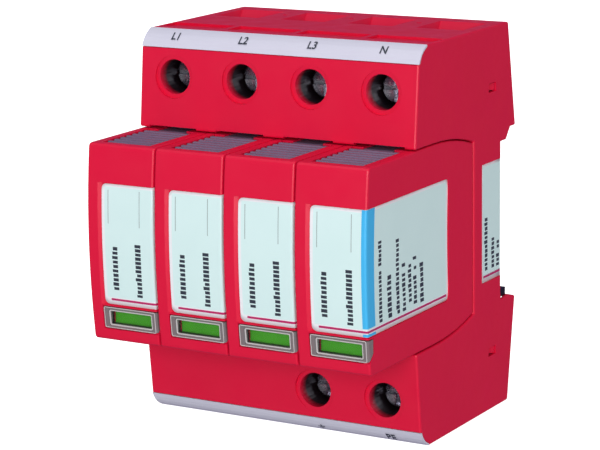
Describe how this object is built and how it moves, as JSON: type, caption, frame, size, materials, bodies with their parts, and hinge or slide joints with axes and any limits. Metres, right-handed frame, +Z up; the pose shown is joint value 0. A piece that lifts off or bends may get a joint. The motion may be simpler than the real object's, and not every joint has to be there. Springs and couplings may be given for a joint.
{
  "type": "din rail surge arrester",
  "caption": "Plug-in surge arrester for a top-hat rail: red base with screw clamps, pull-out modules with status windows and ribbed release latches.",
  "frame": {"origin": "middle of the rail seat's width and height, on the plane that the rail's front face rests against", "axes": "+X right seen from the front, +Y back into the rail, +Z up, line terminals at the top"},
  "size_m": [0.0712, 0.0725, 0.09],
  "materials": {
    "red_polyamide": "fine moulded red, slight sheen",
    "dark_red_polyamide": "moulded red, shaded",
    "grey_polyamide": "moulded grey",
    "black_polyamide": "moulded black",
    "white_strip": "smooth white",
    "clear_lens": "clear polished plastic",
    "green_flag": "bright green",
    "zinc_plated_steel": "zinc plated",
    "nickel_plated_copper": "nickel plated copper strip",
    "spring_steel": "drawn spring wire",
    "varistor_coating": "dipped epoxy coating",
    "spark_gap_ceramic": "unglazed ceramic"
  },
  "bodies": {
    "base": {"base_housing": "red_polyamide", "rear_cover": "red_polyamide", "marking_strip_upper": "white_strip", "marking_strip_lower": "white_strip", "foot_spring": "spring_steel", "contact_bar_L1": "nickel_plated_copper", "contact_bar_L2": "nickel_plated_copper", "contact_bar_L3": "nickel_plated_copper", "neutral_bar": "nickel_plated_copper", "earth_bar": "nickel_plated_copper", "signal_header": "black_polyamide"},
    "rail_foot": {"rail_foot": "black_polyamide"},
    "signal_plug": {"signal_plug": "black_polyamide"},
    "module_L1": {"module_case_L1": "red_polyamide", "module_window_L1": "clear_lens", "module_plug_base_L1": "dark_red_polyamide", "upper_blade_L1": "nickel_plated_copper", "varistor_L1": "varistor_coating"},
    "flag_L1": {"indicator_flag_L1": "green_flag"},
    "upper_latch_L1": {"upper_latch_L1": "grey_polyamide"},
    "lower_latch_L1": {"lower_latch_L1": "grey_polyamide"},
    "module_L2": {"module_case_L2": "red_polyamide", "module_window_L2": "clear_lens", "module_plug_base_L2": "dark_red_polyamide", "upper_blade_L2": "nickel_plated_copper", "varistor_L2": "varistor_coating"},
    "flag_L2": {"indicator_flag_L2": "green_flag"},
    "upper_latch_L2": {"upper_latch_L2": "grey_polyamide"},
    "lower_latch_L2": {"lower_latch_L2": "grey_polyamide"},
    "module_L3": {"module_case_L3": "red_polyamide", "module_window_L3": "clear_lens", "module_plug_base_L3": "dark_red_polyamide", "upper_blade_L3": "nickel_plated_copper", "varistor_L3": "varistor_coating"},
    "flag_L3": {"indicator_flag_L3": "green_flag"},
    "upper_latch_L3": {"upper_latch_L3": "grey_polyamide"},
    "lower_latch_L3": {"lower_latch_L3": "grey_polyamide"},
    "module_NPE": {"module_case_NPE": "red_polyamide", "module_window_NPE": "clear_lens", "module_plug_base_NPE": "dark_red_polyamide", "upper_blade_NPE": "nickel_plated_copper", "spark_gap_NPE": "spark_gap_ceramic"},
    "flag_NPE": {"indicator_flag_NPE": "green_flag"},
    "upper_latch_NPE": {"upper_latch_NPE": "grey_polyamide"},
    "lower_latch_NPE": {"lower_latch_NPE": "grey_polyamide"},
    "screw_L1": {"terminal_screw_L1": "zinc_plated_steel"},
    "cage_L1": {"clamp_cage_L1": "zinc_plated_steel"},
    "screw_L2": {"terminal_screw_L2": "zinc_plated_steel"},
    "cage_L2": {"clamp_cage_L2": "zinc_plated_steel"},
    "screw_L3": {"terminal_screw_L3": "zinc_plated_steel"},
    "cage_L3": {"clamp_cage_L3": "zinc_plated_steel"},
    "screw_N": {"terminal_screw_N": "zinc_plated_steel"},
    "cage_N": {"clamp_cage_N": "zinc_plated_steel"},
    "screw_PE_left": {"terminal_screw_PE_left": "zinc_plated_steel"},
    "cage_PE_left": {"clamp_cage_PE_left": "zinc_plated_steel"},
    "screw_PE_right": {"terminal_screw_PE_right": "zinc_plated_steel"},
    "cage_PE_right": {"clamp_cage_PE_right": "zinc_plated_steel"}
  },
  "joints": [
    {"name": "module_pull_L1", "type": "slide", "parent": "base", "child": "module_L1", "axis": [0, -1, 0], "range_m": [0, 0.04]},
    {"name": "flag_rise_L1", "type": "slide", "parent": "module_L1", "child": "flag_L1", "axis": [0, 0, 1], "range_m": [0, 0.005]},
    {"name": "upper_latch_press_L1", "type": "hinge", "parent": "module_L1", "child": "upper_latch_L1", "pos_m": [-0.0267, -0.0595, 0.0211], "axis": [-1, 0, 0], "range_deg": [0, 5], "stiffness_Nm_per_rad": 0.3, "springref_deg": -2.86},
    {"name": "lower_latch_press_L1", "type": "hinge", "parent": "module_L1", "child": "lower_latch_L1", "pos_m": [-0.0267, -0.0595, -0.0211], "axis": [1, 0, 0], "range_deg": [0, 5], "stiffness_Nm_per_rad": 0.3, "springref_deg": -2.86},
    {"name": "module_pull_L2", "type": "slide", "parent": "base", "child": "module_L2", "axis": [0, -1, 0], "range_m": [0, 0.04]},
    {"name": "flag_rise_L2", "type": "slide", "parent": "module_L2", "child": "flag_L2", "axis": [0, 0, 1], "range_m": [0, 0.005]},
    {"name": "upper_latch_press_L2", "type": "hinge", "parent": "module_L2", "child": "upper_latch_L2", "pos_m": [-0.0089, -0.0595, 0.0211], "axis": [-1, 0, 0], "range_deg": [0, 5], "stiffness_Nm_per_rad": 0.3, "springref_deg": -2.86},
    {"name": "lower_latch_press_L2", "type": "hinge", "parent": "module_L2", "child": "lower_latch_L2", "pos_m": [-0.0089, -0.0595, -0.0211], "axis": [1, 0, 0], "range_deg": [0, 5], "stiffness_Nm_per_rad": 0.3, "springref_deg": -2.86},
    {"name": "module_pull_L3", "type": "slide", "parent": "base", "child": "module_L3", "axis": [0, -1, 0], "range_m": [0, 0.04]},
    {"name": "flag_rise_L3", "type": "slide", "parent": "module_L3", "child": "flag_L3", "axis": [0, 0, 1], "range_m": [0, 0.005]},
    {"name": "upper_latch_press_L3", "type": "hinge", "parent": "module_L3", "child": "upper_latch_L3", "pos_m": [0.0089, -0.0595, 0.0211], "axis": [-1, 0, 0], "range_deg": [0, 5], "stiffness_Nm_per_rad": 0.3, "springref_deg": -2.86},
    {"name": "lower_latch_press_L3", "type": "hinge", "parent": "module_L3", "child": "lower_latch_L3", "pos_m": [0.0089, -0.0595, -0.0211], "axis": [1, 0, 0], "range_deg": [0, 5], "stiffness_Nm_per_rad": 0.3, "springref_deg": -2.86},
    {"name": "module_pull_NPE", "type": "slide", "parent": "base", "child": "module_NPE", "axis": [0, -1, 0], "range_m": [0, 0.04]},
    {"name": "flag_rise_NPE", "type": "slide", "parent": "module_NPE", "child": "flag_NPE", "axis": [0, 0, 1], "range_m": [0, 0.005]},
    {"name": "upper_latch_press_NPE", "type": "hinge", "parent": "module_NPE", "child": "upper_latch_NPE", "pos_m": [0.0267, -0.0595, 0.0211], "axis": [-1, 0, 0], "range_deg": [0, 5], "stiffness_Nm_per_rad": 0.3, "springref_deg": -2.86},
    {"name": "lower_latch_press_NPE", "type": "hinge", "parent": "module_NPE", "child": "lower_latch_NPE", "pos_m": [0.0267, -0.0595, -0.0211], "axis": [1, 0, 0], "range_deg": [0, 5], "stiffness_Nm_per_rad": 0.3, "springref_deg": -2.86},
    {"name": "screw_turn_L1", "type": "hinge", "parent": "base", "child": "screw_L1", "pos_m": [-0.0267, -0.0346, 0.0346], "axis": [0, 1, 0], "range_deg": [0, 2520]},
    {"name": "cage_lift_L1", "type": "slide", "parent": "base", "child": "cage_L1", "axis": [0, -1, 0], "range_m": [0, 0.007]},
    {"name": "screw_turn_L2", "type": "hinge", "parent": "base", "child": "screw_L2", "pos_m": [-0.0089, -0.0346, 0.0346], "axis": [0, 1, 0], "range_deg": [0, 2520]},
    {"name": "cage_lift_L2", "type": "slide", "parent": "base", "child": "cage_L2", "axis": [0, -1, 0], "range_m": [0, 0.007]},
    {"name": "screw_turn_L3", "type": "hinge", "parent": "base", "child": "screw_L3", "pos_m": [0.0089, -0.0346, 0.0346], "axis": [0, 1, 0], "range_deg": [0, 2520]},
    {"name": "cage_lift_L3", "type": "slide", "parent": "base", "child": "cage_L3", "axis": [0, -1, 0], "range_m": [0, 0.007]},
    {"name": "screw_turn_N", "type": "hinge", "parent": "base", "child": "screw_N", "pos_m": [0.0267, -0.0346, 0.0346], "axis": [0, 1, 0], "range_deg": [0, 2520]},
    {"name": "cage_lift_N", "type": "slide", "parent": "base", "child": "cage_N", "axis": [0, -1, 0], "range_m": [0, 0.007]},
    {"name": "screw_turn_PE_left", "type": "hinge", "parent": "base", "child": "screw_PE_left", "pos_m": [0.0089, -0.0346, -0.0346], "axis": [0, 1, 0], "range_deg": [0, 2520]},
    {"name": "cage_lift_PE_left", "type": "slide", "parent": "base", "child": "cage_PE_left", "axis": [0, -1, 0], "range_m": [0, 0.007]},
    {"name": "screw_turn_PE_right", "type": "hinge", "parent": "base", "child": "screw_PE_right", "pos_m": [0.0267, -0.0346, -0.0346], "axis": [0, 1, 0], "range_deg": [0, 2520]},
    {"name": "cage_lift_PE_right", "type": "slide", "parent": "base", "child": "cage_PE_right", "axis": [0, -1, 0], "range_m": [0, 0.007]},
    {"name": "rail_foot_pull", "type": "slide", "parent": "base", "child": "rail_foot", "axis": [0, 0, -1], "range_m": [0, 0.003], "stiffness_N_per_m": 1500, "springref_m": -0.002, "deforming": ["foot_spring"]},
    {"name": "signal_plug_pull", "type": "slide", "parent": "base", "child": "signal_plug", "axis": [0, 0, -1], "range_m": [0, 0.014]}
  ],
  "couplings": [
    {"joint": "screw_turn_L1", "follows": "cage_lift_L1", "rad_per_m": 6283.2},
    {"joint": "screw_turn_L2", "follows": "cage_lift_L2", "rad_per_m": 6283.2},
    {"joint": "screw_turn_L3", "follows": "cage_lift_L3", "rad_per_m": 6283.2},
    {"joint": "screw_turn_N", "follows": "cage_lift_N", "rad_per_m": 6283.2},
    {"joint": "screw_turn_PE_left", "follows": "cage_lift_PE_left", "rad_per_m": 6283.2},
    {"joint": "screw_turn_PE_right", "follows": "cage_lift_PE_right", "rad_per_m": 6283.2}
  ]
}
